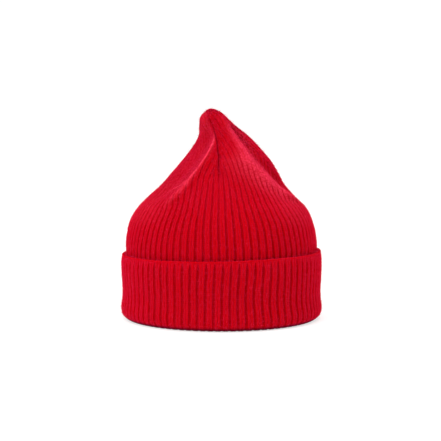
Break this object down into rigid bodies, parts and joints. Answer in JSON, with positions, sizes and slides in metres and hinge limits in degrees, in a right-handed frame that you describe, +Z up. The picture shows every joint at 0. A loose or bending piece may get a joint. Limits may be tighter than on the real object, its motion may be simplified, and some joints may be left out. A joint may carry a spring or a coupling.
{
  "type": "knitted beanie with turned-up cuff",
  "caption": "Rib-knit wool beanie: a soft dome drawn in to a blunt leaning tip, with folds and dents, and its lower end folded up outside as a cuff; open below for the head.",
  "frame": {"origin": "the middle of the ring on which the hat stands, at the bottom of its cuff fold", "axes": "+Z up to the tip, -Y to the front, +X to the right of someone who looks at the front"},
  "size_m": [0.1902, 0.1902, 0.198],
  "materials": {
    "red_knit_crown": "matte wool, knitted in wide ribs",
    "red_knit_cuff": "matte wool, knitted in wide ribs"
  },
  "bodies": {
    "root": {"crown": "red_knit_crown", "cuff": "red_knit_cuff"}
  },
  "joints": []
}
